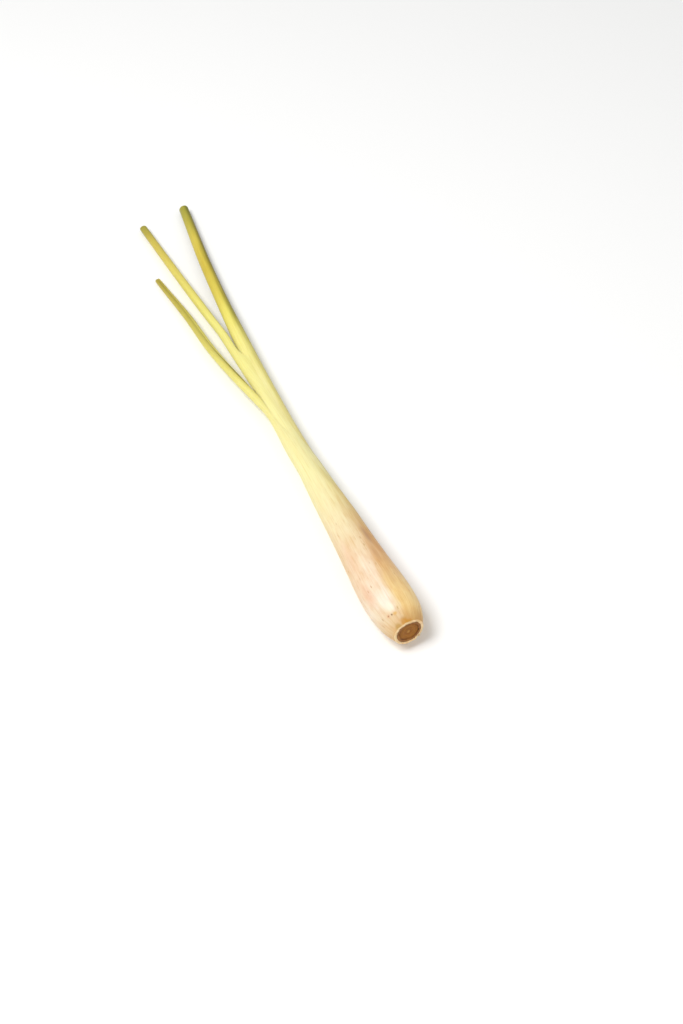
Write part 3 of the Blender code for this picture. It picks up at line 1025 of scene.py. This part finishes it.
def turned_rings(profile, columns, radius_at, x_at):
    """Rings round the stalk's middle line for a profile of (place, radius) points.

    A ring whose points all lie in one spot closes each end.
    """
    rings, across, along = [], [], []
    angle = np.linspace(0, 360, columns + 1)
    for x, radius in profile:
        shown = radius_at(x, radius, angle)
        y = axis_y(x) + shown * np.cos(np.radians(angle))
        z = axis_z(x) + shown * np.sin(np.radians(angle))
        placed = with_knife(x_at(x, radius, angle), y, z, axis_y(x), axis_z(x))
        rings.append(np.column_stack([placed, y, z]))
        across.append(on_map(angle))
        inwards = core_radius(x) - radius if x >= STALK_LENGTH else 0  # the map goes on over the cut
        along.append(np.full(columns + 1, x - inwards))
    bottom, top = (np.tile(ring.mean(axis=0), (columns + 1, 1)) for ring in (rings[0], rings[-1]))
    across = [across[0]] + across + [across[-1]]
    along = [along[0]] + along + [along[-1]]
    return [bottom] + rings + [top], across, along


DOME_TURNS = np.radians([12, 30, 50, 70, 89])


def dome(at, turns):
    """The profile of a rounded end that starts at a place on the core."""
    return [(at + STEM_DOME * math.sin(t), core_radius(at) * math.cos(t)) for t in turns]


def closed_waves(pattern, x, angle):
    """Unevenness that closes on itself after a full turn: its height, length, lobes and seed."""
    height, long, lobes, seed = pattern
    turns = np.radians(angle)
    spots = [Vector((x / long, lobes * math.cos(t), seed + lobes * math.sin(t))) for t in turns]
    return height * np.array([noise.noise(spot) for spot in spots])


print("an end closes round a ring of", POLE_RING, "mm")

# %% Relief of the roll
ROLL_FOOT = STEM_TOP + 0.3  # it starts just above the stem, and is hollowed over the stem's dome
LAP_STEP = 0.12  # the height of the step where the young leaf laps over itself
LAP_WIDTH = 8  # degrees over which it rises
LAP_START, LAP_WINDS = 150, 0.45  # its angle at the foot, and how much that falls with each mm
LAYER_PITCH = 0.55  # from one rolled layer to the next, at the cut
LAYER_FALL = (0.1, 0.28)  # how far a layer lies below the cut's edge, and how much it slopes
ROLL_CUT_EDGE = (0.0, 0.3)  # how far in the cut's edge stays even
ROLL_CUT_ROUGH = (0.05, 1, 2.0)
SEED_PER_MM = 2  # the roughness changes with the radius as fast as this
ROLL_RIBS = (0.035, 70, 3.0, 2.2)
ROLL_SWELLING = (0.07, 26, 0.8, 7.7)


def lap_angle(x):
    """Where the step is, in degrees: it winds a third of a turn along the roll."""
    return LAP_START - LAP_WINDS * (x - ROLL_FOOT)


def roll_radius(x, radius, angle):
    """The lap, slow swellings and ribs; they fade out towards the middle of both ends."""
    after_lap = (angle - lap_angle(x)) % 360
    lap = LAP_STEP * (eased(0, LAP_WIDTH, after_lap) - after_lap / 360)
    uneven = closed_waves(ROLL_RIBS, x, angle) + closed_waves(ROLL_SWELLING, x, angle)
    return radius + (lap + uneven) * radius / core_radius(x)


def roll_place(x, radius, angle):
    """At the cut each rolled layer stands up from its inner to its outer side."""
    if x < STALK_LENGTH:
        return np.full(len(angle), float(x))
    layer = (radius / LAYER_PITCH + angle / 360) % 1
    inside = eased(*ROLL_CUT_EDGE, core_radius(x) - radius)
    rough = closed_waves((*ROLL_CUT_ROUGH, radius * SEED_PER_MM), x, angle)
    return x - inside * (LAYER_FALL[0] + LAYER_FALL[1] * (1 - layer)) + rough


print("the lap winds", round(LAP_WINDS * (STALK_LENGTH - ROLL_FOOT)), "degrees round the roll")

# %% Build the roll
ROLL_COLUMNS = 96
ROLL_IN_SIGHT = 100  # below this place the roll is hidden, so its rings are further apart
ROLL_PITCHES = (4, 1.3, 0.1)  # of the rings on the hidden side, on the visible side and on the cut
ROLL_EDGE = 0.3  # the last ring of the side lies this far from the cut

foot = dome(ROLL_FOOT, DOME_TURNS[::-1])
hidden = [ROLL_FOOT] + evenly(ROLL_FOOT, ROLL_IN_SIGHT, ROLL_PITCHES[0])
visible = evenly(ROLL_IN_SIGHT, STALK_LENGTH - ROLL_EDGE, ROLL_PITCHES[1])
side = [(x, core_radius(x)) for x in hidden + visible]
end_radius = core_radius(STALK_LENGTH)
steps_in = [0.0] + evenly(0, end_radius - POLE_RING, ROLL_PITCHES[2])
end = [(STALK_LENGTH, end_radius - step) for step in steps_in]
rings, across, along = turned_rings(foot + side + end, ROLL_COLUMNS, roll_radius, roll_place)
roll_rows = [0] * (1 + len(foot) + len(side)) + [1] * len(end)
inner_roll = loft("young_leaf_roll", rings, across, along, [roll_finish, tip_finish], roll_rows)
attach(inner_roll, "root")
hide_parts("inner_leaf_roll")

# %% [markdown]
# ## The stem
#
# Only its cut face shows: a disc that has sunk a little below the rim of the leaves as it dried,
# with low ridges for the growth rings and a raised swirl in the middle.

# %% Relief of the stem
DISC_RADIUS = 4.1
DISC_SUNK = 0.22
DISH_DEPTH = 0.15
DISC_RIDGES = (0.05, 1.1)  # height and pitch
RIDGES_FADE = (1, 0.85)  # by the share of the way out
SWIRL = (0.16, 0.8)  # height and radius
DISC_ROUGH = (0.09, 0.9, 1.6, 3.3)
ROUGH_FADES = (1, 0.9)
STEM_UNEVEN = (0.012, 5, 1.5, 1.1)  # its height is a share of the radius


def stem_radius(x, radius, angle):
    """A plain round stem that is a little uneven at the cut."""
    share = min(radius / DISC_RADIUS, 1)
    return radius * (1 + closed_waves(STEM_UNEVEN, x, angle)) - share * flattened(x, angle)


def stem_place(x, radius, angle):
    """On the cut face: rings, a dished middle with a swirl, and a fine roughness."""
    if x > DISC_SUNK:
        return np.full(len(angle), float(x))
    share = radius / DISC_RADIUS
    ridges = DISC_RIDGES[0] * math.cos(radius * math.tau / DISC_RIDGES[1]) * eased(*RIDGES_FADE, share)
    swirl = SWIRL[0] * math.exp(-((radius / SWIRL[1]) ** 2))
    rough = closed_waves(DISC_ROUGH, radius, angle) * eased(*ROUGH_FADES, share)
    return x + DISH_DEPTH * (1 - share**2) + ridges - swirl + rough


print("the cut disc is", 2 * DISC_RADIUS, "mm across")

# %% Build the stem
STEM_COLUMNS = 120
STEM_PITCHES = (0.13, 1.5)  # of the rings on the disc and on the side
DISC_EDGE = 0.12  # the disc's edge is rounded off over this
SIDE_START = DISC_SUNK + 0.1
ROOM_FOR_LEAVES = 1.0  # near the cut the stem is thinner by this, so that the leaves' walls fit in
ROOM_ENDS = (1, 9)

disc_radii = [POLE_RING] + evenly(POLE_RING, DISC_RADIUS - DISC_EDGE, STEM_PITCHES[0])
face = [(DISC_SUNK, radius) for radius in disc_radii]
brim = [(DISC_SUNK + DISC_EDGE / 2, DISC_RADIUS - DISC_EDGE / 4)]
side_places = evenly(SIDE_START, STEM_TOP, STEM_PITCHES[1])
side = [(x, core_radius(x) - ROOM_FOR_LEAVES * (1 - eased(*ROOM_ENDS, x))) for x in side_places]
profile = face + brim + side + dome(STEM_TOP, DOME_TURNS)
rings, across, along = turned_rings(profile, STEM_COLUMNS, stem_radius, stem_place)
stem = loft("woody_stem", rings, across, along, [cut_stem_finish], [0] * (len(rings) - 1))
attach(stem, "root")
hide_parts("basal_stem")

# %% [markdown]
# ## Floor, light and camera
#
# A plain pale floor, one large soft lamp high on the side that the blades leave the stalk on, a
# weaker one opposite, and a bright surrounding. The camera stands near the cut base and looks
# down along the stalk.

# %% Floor
# Matt white paper, which scatters its light too widely to mirror anything.
FLOOR_REACH = 3.0
PAPER = {"Roughness": 0.9, "Base Color": linear("fafaf9")}
floor_mesh = bpy.data.meshes.new("floor")
sheet = bmesh.new()
bmesh.ops.create_grid(sheet, x_segments=1, y_segments=1, size=FLOOR_REACH)
sheet.to_mesh(floor_mesh)
sheet.free()
floor = bpy.data.objects.new("floor", floor_mesh)
bpy.context.scene.collection.objects.link(floor)
floor_mesh.materials.append(new_finish("matt_paper", PAPER)[0])
print("the floor reaches", FLOOR_REACH, "m to each side")

# %% Light
LAMPS = {  # from the stalk's middle, in m, then the lamp's side, in m, and its power, in W
    "key_lamp": ((-0.1, 0.5, 1.0), 0.5, 9.0),
    "fill_lamp": ((-0.7, -0.6, 0.7), 0.9, 1.5),
}
ROOM_STRENGTH = 0.5
stalk_middle = (cad_low + cad_high) / 2
for name, (offset, size, watts) in LAMPS.items():
    lamp = bpy.data.lights.new(name, "AREA")
    lamp.size = size
    lamp.energy = watts
    holder = bpy.data.objects.new(name, lamp)
    holder.location = stalk_middle + Vector(offset)
    holder.rotation_euler = (-Vector(offset)).to_track_quat("-Z", "Y").to_euler()
    bpy.context.scene.collection.objects.link(holder)
world = bpy.data.worlds.new("white_room")
world.use_nodes = True
world.node_tree.nodes["Background"].inputs["Color"].default_value = linear("ffffff")
world.node_tree.nodes["Background"].inputs["Strength"].default_value = ROOM_STRENGTH
bpy.context.scene.world = world
bpy.context.scene.view_settings.view_transform = "Standard"
print("lamps:", ", ".join(LAMPS))

# %% Camera
CAMERA_PLACE = (-307.8, 150.3, 497.3)  # in the stalk's own millimetres
LOOKS_DOWN = 50.5  # degrees below the horizon
LOOKS_ASIDE = 21.7  # degrees from the stalk's own direction
camera_data = bpy.data.cameras.new("camera")
camera_data.lens = 54.5
camera_data.clip_start = 0.01
camera = bpy.data.objects.new("camera", camera_data)
camera.location = place(*CAMERA_PLACE)
camera.rotation_euler = (math.radians(90 - LOOKS_DOWN), 0, math.radians(-90 - LOOKS_ASIDE))
bpy.context.scene.collection.objects.link(camera)
bpy.context.scene.camera = camera
print("the camera looks down by", LOOKS_DOWN, "degrees")

# %% [markdown]
# ## Sizes
#
# The solids' box is printed.

# %% Print the solids' size
bpy.context.view_layer.update()
print("solids:", [round(v / MM, 1) for v in cad_high - cad_low], "mm")
